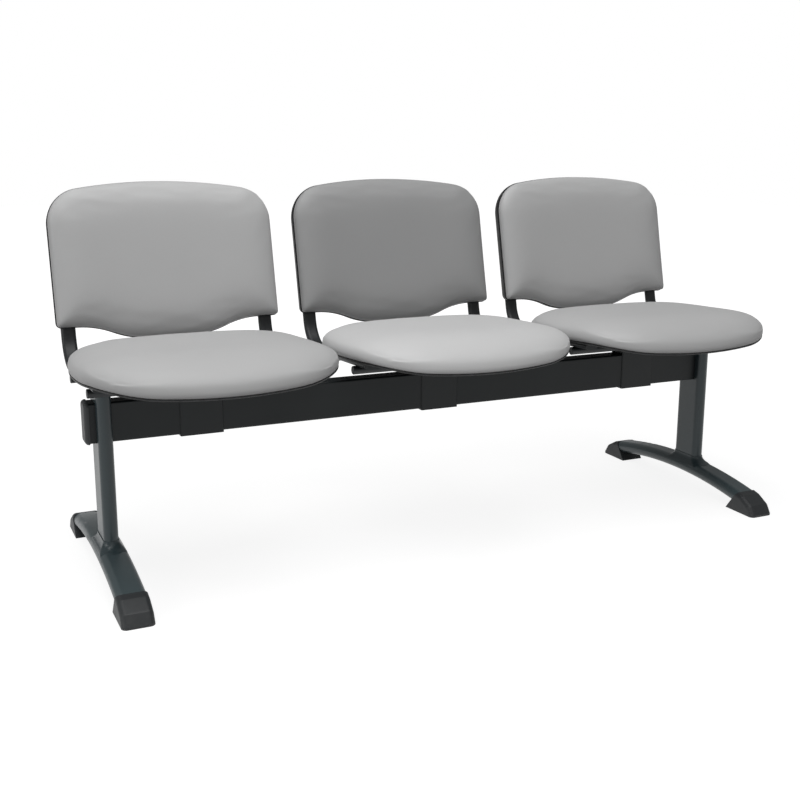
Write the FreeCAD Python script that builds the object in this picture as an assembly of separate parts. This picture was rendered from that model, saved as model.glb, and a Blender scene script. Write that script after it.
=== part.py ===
import FreeCAD, Part
import os
from math import cos, degrees, hypot, radians, sin, sqrt, tan

# Three-place beam seating in millimetres. +Z is up, the sitter faces -Y, the floor is Z = 0.
# X = 0 is the middle of the bench and Y = 0 the middle of its feet.

V = FreeCAD.Vector

# Bench
seat_count = 3
seat_pitch = 530.0
touch_gap = 0.3
cut_low = -120.0
cut_high = 80.0

# Beam
beam_height = 80.0
beam_depth = 40.0
beam_wall = 2.5
beam_corner_radius = 4.0
beam_left_end = -748.0
beam_right_end = 736.0
beam_y = -27.0
beam_bottom_z = 279.0
beam_cap_overlap = 3.0
beam_cap_thickness = 9.0
beam_cap_corner = 11.0
beam_cap_round = 8.0
beam_plug_length = 10.0
beam_plug_wall = 3.0

# Legs
leg_x = 721.0
upright_depth = 86.0
upright_width = 29.0
upright_wall = 2.5
upright_y = -25.5
upright_top_z = 377.0
window_clearance = 0.2
upright_plug_head = 3.0
upright_plug_length = 14.0
collar_sections = (
    (84.0, 1.5, 1.5), (77.0, 4.5, 3.0), (71.0, 12.0, 6.0), (66.5, 24.0, 9.5), (62.0, 32.0, 12.0), (58.0, 34.0, 12.0),
)
leg_screw_diameter = 8.0
leg_screw_hole_clearance = 0.4
leg_screw_head_width = 13.0
leg_screw_head_height = 5.5
leg_screw_spacing = 32.0
leg_screw_bite = 6.0

# Feet
foot_half_length = 305.0
arch_width = 58.0
arch_thickness = 30.0
arch_wall = 2.0
arch_radius = 1245.0
arch_apex_z = 54.5
arch_half_length = 248.0
cap_width = 61.0
cap_floor_start = 212.0
cap_top_start = 246.0
cap_top_z = 45.5
cap_shoulder_y = 262.0
cap_shoulder_z = 41.5
cap_nose_y = 292.0
cap_nose_z = 25.0
cap_toe_z = 5.0
cap_profile_round = 8.0
cap_edge_round = 11.0
cap_tongue_length = 28.0

# Seat
seat_tilt = 3.4
seat_plane_z = 410.5
seat_half_width = 250.0
seat_front = -303.0
seat_middle = -90.0
seat_rear = 142.0
seat_side_radius = 800.0
seat_front_radius = 650.0
seat_rear_radius = 900.0
seat_front_corner = 150.0
seat_rear_corner = 115.0
waterfall_start = -170.0
waterfall_radius = 346.0
seat_shell_wall = 3.0
seat_shell_lip = 4.5
seat_shell_inset = 1.5
seat_shell_round = 3.0
seat_board_thickness = 10.0
seat_board_gap = 1.0
seat_pad_height = 48.5
seat_pad_tuck = 3.0
seat_rise_start = -40.0
seat_rear_rise = 5.0
seat_pad_rings = ((0.2, 0.2), (3.0, 0.4), (12.0, 0.6), (27.0, 0.77), (52.0, 0.89), (90.0, 0.96))
seat_pad_middle_rings = ((0.66, 0.99), (0.36, 1.0))

# Back
back_lean = 13.1
back_base_y = 177.0
back_base_z = 474.0
back_half_width = 240.0
back_height = 304.0
back_flat_drop = 5.5
back_dip = 35.5
back_dip_half = 50.0
back_flat_start = 195.0
back_top_radius = 980.0
back_top_corner = 82.0
back_bottom_corner = 11.0
back_hollow = 18.0
back_pad_rear = -5.0
back_pad_front = 32.0
back_pad_tuck = 2.5
back_pad_rings = ((0.2, 0.18), (2.4, 0.4), (9.0, 0.61), (20.0, 0.78), (42.0, 0.89), (72.0, 0.96))
pad_loft_degree = 2
back_board_thickness = 7.0
back_board_inset = 12.0
back_shell_depth = 28.0
back_shell_wall = 3.0
back_shell_rings = ((2.0, 0.0), (2.4, 7.0), (4.0, 15.0), (7.5, 22.0), (13.0, 26.5))
back_shell_last_inset = 26.0

# Arms and cross tubes
arm_x = 212.0
arm_width = 30.0
arm_thickness = 15.0
arm_wall = 1.5
arm_bend_radius = 70.0
arm_front = -165.0
arm_top = 180.0
arm_board_gap = 0.2
arm_slot_clearance = 0.6
cross_tube_diameter = 18.0
cross_tube_wall = 1.5
cross_tube_half_length = 226.0
cross_tube_front = -105.0
cross_tube_rear = 95.0
plug_head = 2.5
plug_length = 14.0
plug_clearance = 0.1

# Clamp under each seat
clamp_width = 88.0
clamp_thickness = 3.0
clamp_flange = 26.0
clamp_bevel = 2.0
carrier_thickness = 5.0
carrier_overhang = 17.0
saddle_side_gap = 0.3
saddle_width = 80.0
clamp_bolt_diameter = 8.0
clamp_bolt_x = 28.0
clamp_bolt_head_diameter = 16.0
clamp_bolt_head_height = 4.5
clamp_bolt_hole_clearance = 0.5
clamp_nut_width = 13.0
clamp_nut_height = 6.5
clamp_bolt_tail = 3.0

# Screws that hold the boards to the arms
board_screw_diameter = 6.0
board_screw_head_diameter = 11.0
board_screw_head_height = 3.3
board_screw_hole_clearance = 0.3
board_screw_access_clearance = 0.5
seat_screw_places = (-130.0, 60.0)
seat_screw_bite = 7.0
back_screw_places = (60.0, 150.0)
back_screw_bite = 5.0

beam_top_z = beam_bottom_z + beam_height
beam_front_y = beam_y - beam_depth / 2
beam_rear_y = beam_y + beam_depth / 2
seat_places = [(i - (seat_count - 1) / 2) * seat_pitch for i in range(seat_count)]
tilt = radians(seat_tilt)
lean = radians(back_lean)
cross_tube_w = -arm_thickness - cross_tube_diameter / 2
carrier_top_w = -arm_thickness - cross_tube_diameter
carrier_under_w = carrier_top_w - carrier_thickness

os.makedirs("parts", exist_ok=True)


# Placing helpers. Seat coordinates are x across, v rearwards along the tilted seat plane and w
# square to it. Back coordinates are x across, s up the leaning back and t square to it, forwards.
def place_seat(shape, x):
    placed = shape.copy()
    placed.rotate(V(0, 0, 0), V(1, 0, 0), -seat_tilt)
    placed.translate(V(x, 0, seat_plane_z))
    return placed


def place_back(shape, x):
    placed = shape.copy()
    placed.rotate(V(0, 0, 0), V(1, 0, 0), 90 - back_lean)
    placed.translate(V(x, back_base_y, back_base_z))
    return placed


def seat_point(v, w):
    y = v * cos(tilt) + w * sin(tilt)
    z = seat_plane_z - v * sin(tilt) + w * cos(tilt)
    return y, z


def seat_place_of(y, w):
    return (y - w * sin(tilt)) / cos(tilt)


def seat_level_z(y, w):
    return seat_point(seat_place_of(y, w), w)[1]


def back_point(s, t):
    y = back_base_y + s * sin(lean) - t * cos(lean)
    z = back_base_z + s * cos(lean) + t * sin(lean)
    return y, z


def polygon_prism(points, start, length, axis):
    if axis == "x":
        corners = [V(start, a, b) for a, b in points]
        direction = V(length, 0, 0)
    else:
        corners = [V(a, b, start) for a, b in points]
        direction = V(0, 0, length)
    wire = Part.makePolygon(corners + corners[:1])
    return Part.Face(wire).extrude(direction)


def box_between(low, high):
    return Part.makeBox(high[0] - low[0], high[1] - low[1], high[2] - low[2], V(*low))


def cylinder(diameter, length, base, direction):
    return Part.makeCylinder(diameter / 2, length, base, direction)


def hexagon(width, height, base, direction):
    corner = width / 2 / cos(radians(30))
    corners = [V(corner * cos(radians(60 * i)), corner * sin(radians(60 * i)), 0) for i in range(7)]
    prism = Part.Face(Part.makePolygon(corners)).extrude(V(0, 0, height))
    prism.rotate(V(0, 0, 0), *turn_from_z(direction))
    prism.translate(base)
    return prism


def turn_from_z(direction):
    rotation = FreeCAD.Rotation(V(0, 0, 1), direction)
    return rotation.Axis, degrees(rotation.Angle)


def group(shapes):
    return Part.makeCompound(shapes)


def save(shape, name):
    shape.exportStep("parts/" + name + ".step")


# A flat-oval face: long side along the first direction, short side along the second.
def flat_oval(width, thickness, centre, across, up):
    half = (width - thickness) / 2
    radius = thickness / 2
    right = centre + across * half
    left = centre - across * half
    edges = [
        Part.makeLine(left - up * radius, right - up * radius),
        Part.Arc(right - up * radius, right + across * radius, right + up * radius).toShape(),
        Part.makeLine(right + up * radius, left + up * radius),
        Part.Arc(left + up * radius, left - across * radius, left - up * radius).toShape(),
    ]
    return Part.Face(Part.Wire(edges))


# A rounded rectangle in the YZ plane at one X, extruded along X.
def rounded_bar(depth, height, radius, x, length, centre_y, centre_z):
    bar = box_between(
        (min(x, x + length), centre_y - depth / 2, centre_z - height / 2),
        (max(x, x + length), centre_y + depth / 2, centre_z + height / 2),
    )
    edges = [e for e in bar.Edges if abs(e.tangentAt(e.FirstParameter).x) > 0.99]
    return bar.makeFillet(radius, edges)


# The centre of a circle that touches two larger circles from inside.
def corner_centre(first, first_radius, second, second_radius, radius):
    a = first_radius - radius
    b = second_radius - radius
    dx = second[0] - first[0]
    dy = second[1] - first[1]
    distance = hypot(dx, dy)
    along = (a * a - b * b + distance * distance) / (2 * distance)
    aside = sqrt(a * a - along * along)
    options = []
    for side in (-1, 1):
        x = first[0] + along * dx / distance - side * aside * dy / distance
        y = first[1] + along * dy / distance + side * aside * dx / distance
        options.append((x, y))
    return max(options)


def on_circle(centre, radius, towards):
    dx = towards[0] - centre[0]
    dy = towards[1] - centre[1]
    reach = hypot(dx, dy)
    return centre[0] + dx / reach * radius, centre[1] + dy / reach * radius


def arc_between(centre, radius, start, end):
    middle = ((start[0] + end[0]) / 2, (start[1] + end[1]) / 2)
    return start, on_circle(centre, radius, middle), end


def mirrored(run):
    return [tuple((-x, y) for x, y in reversed(piece)) for piece in reversed(run)]


# The seat outline as tangent arcs, drawn in by an inset, anticlockwise from the front middle.
def seat_outline(inset=0.0, scale=1.0):
    side = (seat_half_width - seat_side_radius, seat_middle)
    front = (0.0, seat_front + seat_front_radius)
    rear = (0.0, seat_rear - seat_rear_radius)
    front_corner = corner_centre(side, seat_side_radius, front, seat_front_radius, seat_front_corner)
    rear_corner = corner_centre(side, seat_side_radius, rear, seat_rear_radius, seat_rear_corner)
    side_radius = seat_side_radius - inset
    front_start = on_circle(front, seat_front_radius - inset, front_corner)
    front_end = on_circle(side, side_radius, front_corner)
    rear_start = on_circle(side, side_radius, rear_corner)
    rear_end = on_circle(rear, seat_rear_radius - inset, rear_corner)
    front_middle = (0.0, seat_front + inset)
    rear_middle = (0.0, seat_rear - inset)
    right = [
        arc_between(front, seat_front_radius - inset, front_middle, front_start),
        arc_between(front_corner, seat_front_corner - inset, front_start, front_end),
        arc_between(side, side_radius, front_end, rear_start),
        arc_between(rear_corner, seat_rear_corner - inset, rear_start, rear_end),
        arc_between(rear, seat_rear_radius - inset, rear_end, rear_middle),
    ]
    return scaled(right + mirrored(right), scale, seat_middle)


# The back outline: straight sides, arched top, and a lower edge that dips in the middle.
def back_outline(inset=0.0, scale=1.0):
    half = back_half_width - inset
    shrink = half / back_half_width
    top = back_height - inset
    low = inset - back_flat_drop
    dip = inset - back_dip
    arch_radius_here = back_top_radius - inset
    corner = max(back_top_corner - inset, back_bottom_corner)
    arch = (0.0, top - arch_radius_here)
    corner_x = half - corner
    corner_s = arch[1] + sqrt((arch_radius_here - corner) ** 2 - corner_x ** 2)
    corner_place = (corner_x, corner_s)
    arch_end = on_circle(arch, arch_radius_here, corner_place)
    small = back_bottom_corner
    heel = (half - small, low + small)
    flat_end = back_flat_start * shrink
    dip_end = back_dip_half * shrink
    width = flat_end - dip_end
    drop = low - dip
    curve = (width * width + drop * drop) / (4 * drop)
    turn = ((flat_end + dip_end) / 2, (low + dip) / 2)
    upper = (flat_end, low - curve)
    lower = (dip_end, dip + curve)
    right = [
        ((0.0, dip), (dip_end, dip)),
        arc_between(lower, curve, (dip_end, dip), turn),
        arc_between(upper, curve, turn, (flat_end, low)),
        ((flat_end, low), (half - small, low)),
        arc_between(heel, small, (half - small, low), (half, low + small)),
        ((half, low + small), (half, corner_s)),
        arc_between(corner_place, corner, (half, corner_s), arch_end),
        arc_between(arch, arch_radius_here, arch_end, (0.0, top)),
    ]
    return scaled(right + mirrored(right), scale, back_height / 2)


def scaled(run, scale, middle):
    return [tuple((x * scale, middle + (y - middle) * scale) for x, y in piece) for piece in run]


# A closed wire over an outline, with the height of each point given by a function.
def outline_wire(run, height):
    edges = []
    for piece in run:
        points = [V(x, y, height(x, y)) for x, y in piece]
        if len(points) == 2:
            edges.append(Part.makeLine(points[0], points[1]))
        else:
            edges.append(Part.Arc(*points).toShape())
    return Part.Wire(edges)


def outline_prism(run, low, high):
    wire = outline_wire(run, lambda x, y: low)
    return Part.Face(wire).extrude(V(0, 0, high - low))


# The seat plane bends down at the front: its fall below the flat at a place v.
def waterfall(v):
    run = max(0.0, waterfall_start - v)
    return sqrt(waterfall_radius ** 2 - run ** 2) - waterfall_radius


# A slab between two heights above the bent seat plane.
def seat_slab(low, high):
    reach = radians(38)
    half = seat_half_width + 20
    back_end = seat_rear + 20

    def rim(height, angle):
        radius = waterfall_radius + height
        return V(-half, waterfall_start - radius * sin(angle), radius * cos(angle) - waterfall_radius)

    edges = [
        Part.makeLine(V(-half, back_end, low), rim(low, 0)),
        Part.Arc(rim(low, 0), rim(low, reach / 2), rim(low, reach)).toShape(),
        Part.makeLine(rim(low, reach), rim(high, reach)),
        Part.Arc(rim(high, reach), rim(high, reach / 2), rim(high, 0)).toShape(),
        Part.makeLine(rim(high, 0), V(-half, back_end, high)),
        Part.makeLine(V(-half, back_end, high), V(-half, back_end, low)),
    ]
    return Part.Face(Part.Wire(edges)).extrude(V(2 * half, 0, 0))


back_curve_radius = (back_half_width ** 2 + back_hollow ** 2) / (2 * back_hollow)


# The back is hollow across: how far a place x stands forward of the side edges.
def hollow(x):
    return back_curve_radius - back_hollow - sqrt(back_curve_radius ** 2 - x ** 2)


# A slab between two offsets from the hollow back surface.
def back_slab(low, high):
    half_angle = radians(10)
    below = -back_dip - 20
    length = back_height + back_dip + 40
    centre_t = back_curve_radius - back_hollow

    def rim(offset, angle):
        radius = back_curve_radius - offset
        return V(radius * sin(angle), below, centre_t - radius * cos(angle))

    edges = [
        Part.Arc(rim(low, -half_angle), rim(low, 0), rim(low, half_angle)).toShape(),
        Part.makeLine(rim(low, half_angle), rim(high, half_angle)),
        Part.Arc(rim(high, half_angle), rim(high, 0), rim(high, -half_angle)).toShape(),
        Part.makeLine(rim(high, -half_angle), rim(low, -half_angle)),
    ]
    return Part.Face(Part.Wire(edges)).extrude(V(0, length, 0))


# Edges of a tray's floor: the ones that lie on its bent outer face, away from the side walls.
def floor_edges(tray, is_floor):
    chosen = []
    for edge in tray.Edges:
        if all(is_floor(vertex.Point) for vertex in edge.Vertexes):
            chosen.append(edge)
    return chosen


def seat_shell():
    def on_floor(point):
        return abs(point.z - waterfall(point.y)) < 0.01 + 0.02 * abs(waterfall(point.y))

    outer = outline_prism(seat_outline(seat_shell_inset), cut_low, cut_high)
    outer = outer.common(seat_slab(0, seat_shell_lip))
    outer = outer.makeFillet(seat_shell_round, floor_edges(outer, on_floor))
    inner = outline_prism(seat_outline(seat_shell_inset + seat_shell_wall), cut_low, cut_high)
    inner = inner.common(seat_slab(seat_shell_wall, seat_shell_lip + 5))
    shell = outer.cut(inner)
    for side in (-1, 1):
        for v in seat_screw_places:
            shell = shell.cut(seat_screw_hole(side, v, 0, seat_shell_wall))
    return shell


def seat_screw_hole(side, v, low, depth):
    diameter = board_screw_diameter + 2 * board_screw_hole_clearance
    return cylinder(diameter, depth + 2, V(side * arm_x, v, low - 1), V(0, 0, 1))


def seat_board_inset():
    return seat_shell_inset + seat_shell_wall + seat_board_gap


def seat_board():
    outline = seat_outline(seat_board_inset())
    top = seat_shell_wall + seat_board_thickness
    board = outline_prism(outline, cut_low, cut_high).common(seat_slab(seat_shell_wall, top))
    for side in (-1, 1):
        for v in seat_screw_places:
            board = board.cut(seat_screw_hole(side, v, seat_shell_wall, seat_screw_bite - 1))
    return board


# The pad is a little thicker towards its rear edge.
def rear_rise(v):
    run = max(0.0, v - seat_rise_start) / (seat_rear - seat_rise_start)
    return seat_rear_rise * run * run


def seat_pad_wire(inset, scale, share):
    def height(x, y):
        return waterfall(y) + seat_shell_lip + share * (seat_pad_height + rear_rise(y))

    return outline_wire(seat_outline(inset, scale), height)


# The pad is a loft through rings of the outline, each given by its inset and share of the height.
def seat_cushion():
    wires = [outline_wire(seat_outline(3 * seat_pad_tuck), lambda x, y: cut_low)]
    wires.append(seat_pad_wire(seat_pad_tuck, 1.0, 0.0))
    for inset, share in seat_pad_rings:
        wires.append(seat_pad_wire(inset, 1.0, share))
    for scale, share in seat_pad_middle_rings:
        inner = seat_outline(seat_pad_rings[-1][0], scale)
        top = seat_shell_lip + share * seat_pad_height
        wires.append(outline_wire(inner, lambda x, y, h=top: h))
    pad = Part.makeLoft(wires, True, False, False, pad_loft_degree)
    pad = pad.cut(seat_slab(cut_low, seat_shell_lip + touch_gap))
    board_top = seat_shell_wall + seat_board_thickness
    recess = outline_prism(seat_outline(seat_board_inset() - touch_gap), cut_low, cut_high)
    return pad.cut(recess.common(seat_slab(0, board_top + touch_gap)))


# The shell tapers rearwards: a loft through rings of the outline, given by inset and depth.
def back_shell_solid(wall):
    wires = [outline_wire(back_outline(back_shell_rings[0][0] + wall), lambda x, y: cut_high)]
    for inset, depth in back_shell_rings:
        offset = back_pad_rear - depth
        wires.append(outline_wire(back_outline(inset + wall), lambda x, y, t=offset: hollow(x) + t))
    wires.append(outline_wire(back_outline(back_shell_last_inset + wall), lambda x, y: cut_low))
    solid = Part.makeLoft(wires, True, False, False, pad_loft_degree)
    return solid.common(back_slab(back_pad_rear - back_shell_depth + wall, back_pad_rear + wall))


def back_shell():
    shell = back_shell_solid(0.0)
    shell = shell.cut(back_shell_solid(back_shell_wall))
    for side in (-1, 1):
        shell = shell.cut(arm_slot(side))
    return shell


def arm_slot(side):
    clearance = 2 * arm_slot_clearance
    centre = V(side * arm_x, -back_dip, arm_centre_t())
    oval = flat_oval(arm_width + clearance, arm_thickness + clearance, centre, V(1, 0, 0), V(0, 0, 1))
    return oval.extrude(V(0, back_dip + 40, 0))


def back_board():
    top = back_pad_rear
    board = outline_prism(back_outline(back_board_inset), cut_low, cut_high)
    board = board.common(back_slab(top - back_board_thickness, top))
    for side in (-1, 1):
        for s in back_screw_places:
            diameter = board_screw_diameter + 2 * board_screw_hole_clearance
            depth = arm_board_gap + back_screw_bite + 2
            base = V(side * arm_x, s, arm_front_t() - 1)
            board = board.cut(cylinder(diameter, depth, base, V(0, 0, 1)))
    return board


def back_cushion():
    depth = back_pad_front - back_pad_rear
    wires = [outline_wire(back_outline(2 * back_pad_tuck), lambda x, y: cut_low)]
    wires.append(outline_wire(back_outline(back_pad_tuck), lambda x, y: hollow(x) + back_pad_rear))
    for inset, share in back_pad_rings:
        offset = back_pad_rear + share * depth
        wires.append(outline_wire(back_outline(inset), lambda x, y, t=offset: hollow(x) + t))
    last = back_pad_rings[-1][0]
    near = back_pad_rear + 0.99 * depth
    wires.append(outline_wire(back_outline(last, 0.66), lambda x, y: hollow(x) + near))
    wires.append(outline_wire(back_outline(last, 0.33), lambda x, y: hollow(0) + back_pad_front))
    pad = Part.makeLoft(wires, True, False, False, pad_loft_degree)
    return pad.cut(back_slab(cut_low, back_pad_rear + touch_gap))


# The arms lie against the back board, so their place follows from the board's rear face.
def arm_front_t():
    flat_edge = arm_x - (arm_width - arm_thickness) / 2
    return hollow(flat_edge) + back_pad_rear - back_board_thickness - arm_board_gap


def arm_centre_t():
    return arm_front_t() - arm_thickness / 2


# One arm in seat coordinates: a run under the seat, one bend, and a run up into the back.
def arm_path():
    base_y, base_z = back_point(0, arm_centre_t())
    low_w = -arm_thickness / 2
    start_y, start_z = seat_point(0, low_w)
    bend = radians(90 - back_lean + seat_tilt)
    rise = base_z - start_z
    run = base_y - start_y
    along = (run * cos(lean) - rise * sin(lean)) / (cos(lean) * cos(tilt) + sin(lean) * sin(tilt))
    corner_y, corner_z = seat_point(along, low_w)
    reach = arm_bend_radius * tan(bend / 2)
    bend_start = along - reach
    top_y, top_z = back_point(arm_top, arm_centre_t())
    upper = hypot(top_y - corner_y, top_z - corner_z) - reach
    return low_w, bend_start, bend, upper


def arm_solid(width, thickness, side, extra=0.0):
    low_w, bend_start, bend, upper = arm_path()
    start = V(side * arm_x, arm_front - extra, low_w)
    section = flat_oval(width, thickness, start, V(1, 0, 0), V(0, 0, 1))
    lower_run = section.extrude(V(0, bend_start - arm_front + extra, 0))
    section.translate(V(0, bend_start - arm_front + extra, 0))
    centre = V(0, bend_start, low_w + arm_bend_radius)
    elbow = section.revolve(centre, V(1, 0, 0), 90 - back_lean + seat_tilt)
    section.rotate(centre, V(1, 0, 0), 90 - back_lean + seat_tilt)
    upper_run = section.extrude(V(0, cos(bend), sin(bend)) * (upper + extra))
    return lower_run.fuse([elbow, upper_run]).removeSplitter()


def back_arm(side):
    outer = arm_solid(arm_width, arm_thickness, side)
    bore = arm_solid(arm_width - 2 * arm_wall, arm_thickness - 2 * arm_wall, side, 1.0)
    arm = outer.cut(bore)
    hole = board_screw_diameter + 2 * board_screw_hole_clearance
    access = board_screw_head_diameter + 2 * board_screw_access_clearance
    for v in seat_screw_places:
        arm = arm.cut(cylinder(hole, arm_wall + 1, V(side * arm_x, v, -arm_wall - 0.5), V(0, 0, 1)))
        arm = arm.cut(cylinder(access, arm_thickness / 2, V(side * arm_x, v, -arm_thickness - 1), V(0, 0, 1)))
    rear_t = arm_centre_t() - arm_thickness / 2
    cuts = []
    for s in back_screw_places:
        front = V(side * arm_x, s, arm_front_t() - arm_wall - 0.5)
        cuts.append(cylinder(hole, arm_wall + 1, front, V(0, 0, 1)))
        cuts.append(cylinder(access, arm_thickness / 2, V(side * arm_x, s, rear_t - 1), V(0, 0, 1)))
    placed = place_seat(arm, 0)
    return placed.cut([place_back(cut, 0) for cut in cuts])


# A screw whose head bears on the inside of the arm's wall and whose shank enters a board.
def board_screw(x, y, wall_face, bite):
    shank = cylinder(board_screw_diameter, arm_wall + bite, V(x, y, wall_face - arm_wall), V(0, 0, 1))
    head_base = V(x, y, wall_face - arm_wall - board_screw_head_height)
    head = cylinder(board_screw_head_diameter, board_screw_head_height, head_base, V(0, 0, 1))
    return shank.fuse(head).removeSplitter()


def seat_screws():
    screws = []
    for x in seat_places:
        for side in (-1, 1):
            for v in seat_screw_places:
                bite = seat_shell_wall + seat_screw_bite - 1
                screws.append(place_seat(board_screw(side * arm_x, v, 0, bite), x))
    return group(screws)


def back_screws():
    screws = []
    for x in seat_places:
        for side in (-1, 1):
            for s in back_screw_places:
                bite = arm_board_gap + back_screw_bite
                screws.append(place_back(board_screw(side * arm_x, s, arm_front_t(), bite), x))
    return group(screws)


def cross_tube(v):
    base = V(-cross_tube_half_length, v, cross_tube_w)
    length = 2 * cross_tube_half_length
    tube = cylinder(cross_tube_diameter, length, base, V(1, 0, 0))
    return tube.cut(cylinder(cross_tube_diameter - 2 * cross_tube_wall, length, base, V(1, 0, 0)))


# Plugs close the ends of the cross tubes and the front ends of the arms.
def tube_plugs():
    plugs = []
    bore = cross_tube_diameter - 2 * cross_tube_wall - 2 * plug_clearance
    for v in (cross_tube_front, cross_tube_rear):
        for side in (-1, 1):
            face = V(side * cross_tube_half_length, v, cross_tube_w)
            head = cylinder(cross_tube_diameter, plug_head, face, V(side, 0, 0))
            rim = [e for e in head.Edges if abs(e.BoundBox.XLength) < 0.01]
            outer_rim = [e for e in rim if abs(e.BoundBox.XMin) > cross_tube_half_length + plug_head / 2]
            head = head.makeFillet(plug_head * 0.6, outer_rim)
            plugs.append(head.fuse(cylinder(bore, plug_length, face, V(-side, 0, 0))).removeSplitter())
    for side in (-1, 1):
        face = V(side * arm_x, arm_front, -arm_thickness / 2)
        across = V(1, 0, 0)
        up = V(0, 0, 1)
        head = flat_oval(arm_width, arm_thickness, face, across, up).extrude(V(0, -plug_head, 0))
        inset = 2 * arm_wall + 2 * plug_clearance
        stem = flat_oval(arm_width - inset, arm_thickness - inset, face, across, up)
        plugs.append(head.fuse(stem.extrude(V(0, plug_length, 0))).removeSplitter())
    return group(plugs)


def flange_places():
    front = beam_front_y - clamp_thickness - clamp_flange / 2
    rear = beam_rear_y + clamp_thickness + clamp_flange / 2
    return seat_place_of(front, carrier_under_w), seat_place_of(rear, carrier_under_w)


def carrier_plate():
    low = (-clamp_width / 2, cross_tube_front - carrier_overhang, carrier_under_w)
    high = (clamp_width / 2, cross_tube_rear + carrier_overhang, carrier_top_w)
    plate = box_between(low, high)
    upright_edges = [e for e in plate.Edges if abs(e.tangentAt(e.FirstParameter).z) > 0.99]
    plate = plate.makeFillet(clamp_bolt_head_diameter / 2, upright_edges)
    return plate.cut(clamp_holes())


def clamp_holes():
    holes = []
    diameter = clamp_bolt_diameter + 2 * clamp_bolt_hole_clearance
    for v in flange_places():
        for side in (-1, 1):
            base = V(side * clamp_bolt_x, v, carrier_under_w - clamp_thickness - 2)
            holes.append(cylinder(diameter, clamp_thickness + carrier_thickness + 4, base, V(0, 0, 1)))
    return holes


# The strap is one bent steel strip: two flanges under the carrier and a U round the beam.
def clamp_strap():
    def under(y):
        return seat_level_z(y, carrier_under_w)

    drop = clamp_thickness / cos(tilt)
    front_in = beam_front_y
    rear_in = beam_rear_y
    front_out = front_in - clamp_thickness
    rear_out = rear_in + clamp_thickness
    front_tip = front_out - clamp_flange
    rear_tip = rear_out + clamp_flange
    low_out = beam_bottom_z - clamp_thickness
    points = [
        (front_tip, under(front_tip)), (front_in, under(front_in)),
        (front_in, beam_bottom_z), (rear_in, beam_bottom_z),
        (rear_in, under(rear_in)), (rear_tip, under(rear_tip)),
        (rear_tip, under(rear_tip) - drop), (rear_out, under(rear_out) - drop),
        (rear_out, low_out), (front_out, low_out),
        (front_out, under(front_out) - drop), (front_tip, under(front_tip) - drop),
    ]
    strap = polygon_prism(points, -clamp_width / 2, clamp_width, "x")
    bevelled = []
    for edge in strap.Edges:
        box = edge.BoundBox
        on_front = abs(box.YMin - front_out) < 0.01 and abs(box.YMax - front_out) < 0.01
        if on_front and box.ZLength > clamp_width / 2:
            bevelled.append(edge)
    strap = strap.makeChamfer(clamp_bevel, bevelled)
    return strap.cut([place_seat(hole, 0) for hole in clamp_holes()])


def saddle_blocks():
    front = beam_front_y + saddle_side_gap
    rear = beam_rear_y - saddle_side_gap
    points = [
        (front, beam_top_z), (rear, beam_top_z),
        (rear, seat_level_z(rear, carrier_under_w)), (front, seat_level_z(front, carrier_under_w)),
    ]
    blocks = [polygon_prism(points, x - saddle_width / 2, saddle_width, "x") for x in seat_places]
    return group(blocks)


def clamp_bolts():
    bolts = []
    for x in seat_places:
        for v in flange_places():
            for side in (-1, 1):
                bolts.append(place_seat(clamp_bolt(side * clamp_bolt_x, v), x))
    return group(bolts)


def clamp_bolt(x, v):
    length = carrier_thickness + clamp_thickness + clamp_nut_height + clamp_bolt_tail
    shank = cylinder(clamp_bolt_diameter, length, V(x, v, carrier_top_w), V(0, 0, -1))
    head = cylinder(clamp_bolt_head_diameter, clamp_bolt_head_height, V(x, v, carrier_top_w), V(0, 0, 1))
    top = [e for e in head.Edges if e.BoundBox.ZMin > carrier_top_w + clamp_bolt_head_height / 2]
    head = head.makeFillet(clamp_bolt_head_height * 0.6, top)
    return shank.fuse(head).removeSplitter()


def clamp_nuts():
    nuts = []
    top = carrier_under_w - clamp_thickness
    for x in seat_places:
        for v in flange_places():
            for side in (-1, 1):
                place = V(side * clamp_bolt_x, v, top - clamp_nut_height)
                nut = hexagon(clamp_nut_width, clamp_nut_height, place, V(0, 0, 1))
                nut = nut.cut(cylinder(clamp_bolt_diameter, clamp_nut_height, place, V(0, 0, 1)))
                nuts.append(place_seat(nut, x))
    return group(nuts)


def beam():
    middle_z = beam_bottom_z + beam_height / 2
    length = beam_right_end - beam_left_end
    bar = rounded_bar(beam_depth, beam_height, beam_corner_radius, beam_left_end, length, beam_y, middle_z)
    bore = rounded_bar(
        beam_depth - 2 * beam_wall, beam_height - 2 * beam_wall, beam_corner_radius - beam_wall,
        beam_left_end - 1, length + 2, beam_y, middle_z,
    )
    bar = bar.cut(bore)
    return bar.cut(leg_screw_holes())


def leg_screw_places():
    middle_z = beam_bottom_z + beam_height / 2
    heights = (middle_z - leg_screw_spacing / 2, middle_z + leg_screw_spacing / 2)
    return [(side * leg_x, z) for side in (-1, 1) for z in heights]


def upright_rear_y():
    return upright_y + upright_depth / 2


def leg_screw_holes():
    diameter = leg_screw_diameter + 2 * leg_screw_hole_clearance
    length = upright_rear_y() - beam_rear_y + beam_wall + 2
    holes = []
    for x, z in leg_screw_places():
        holes.append(cylinder(diameter, length, V(x, upright_rear_y() + 1, z), V(0, -1, 0)))
    return holes


def leg_screws():
    screws = []
    length = upright_rear_y() - beam_rear_y + beam_wall + leg_screw_bite
    for x, z in leg_screw_places():
        shank = cylinder(leg_screw_diameter, length, V(x, upright_rear_y(), z), V(0, -1, 0))
        head = hexagon(leg_screw_head_width, leg_screw_head_height, V(x, upright_rear_y(), z), V(0, 1, 0))
        screws.append(shank.fuse(head).removeSplitter())
    return group(screws)


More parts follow.
